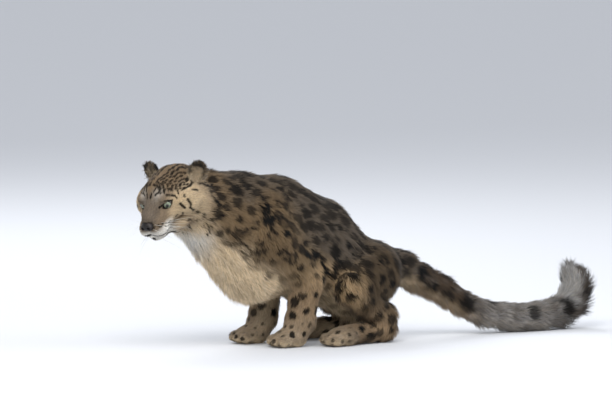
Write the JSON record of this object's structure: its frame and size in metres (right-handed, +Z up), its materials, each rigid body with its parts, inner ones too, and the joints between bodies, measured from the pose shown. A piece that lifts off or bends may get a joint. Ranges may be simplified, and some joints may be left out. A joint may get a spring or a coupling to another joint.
{
  "type": "snow leopard figure",
  "caption": "Life-size snow leopard squatting on its haunches, head turned to its left, with a long thick tail laid out behind it.",
  "frame": {"origin": "middle of the footprint box, on the floor", "axes": "+Z up; the body faces -X, so the tail runs to +X; the animal's left side is towards -Y"},
  "size_m": [1.5594, 0.3458, 0.5528],
  "materials": {
    "coat": "dense matt fur, grey brown with dark rosettes, cream underneath",
    "nose_skin": "bare, slightly moist skin",
    "eye": "wet and glossy, pale grey green with a dark pupil"
  },
  "bodies": {
    "root": {"chest": "coat", "ear_left": "coat", "ear_right": "coat", "eye_left": "eye", "eye_right": "eye", "forearm_left": "coat", "forearm_right": "coat", "forepaw_left": "coat", "forepaw_right": "coat", "head": "coat", "hindpaw_left": "coat", "hindpaw_right": "coat", "loins": "coat", "neck": "coat", "nose": "nose_skin", "tail_1": "coat", "tail_2": "coat", "tail_3": "coat", "tail_4": "coat", "tail_5": "coat", "thigh_left": "coat", "thigh_right": "coat", "upper_arm_left": "coat", "upper_arm_right": "coat"}
  },
  "joints": []
}
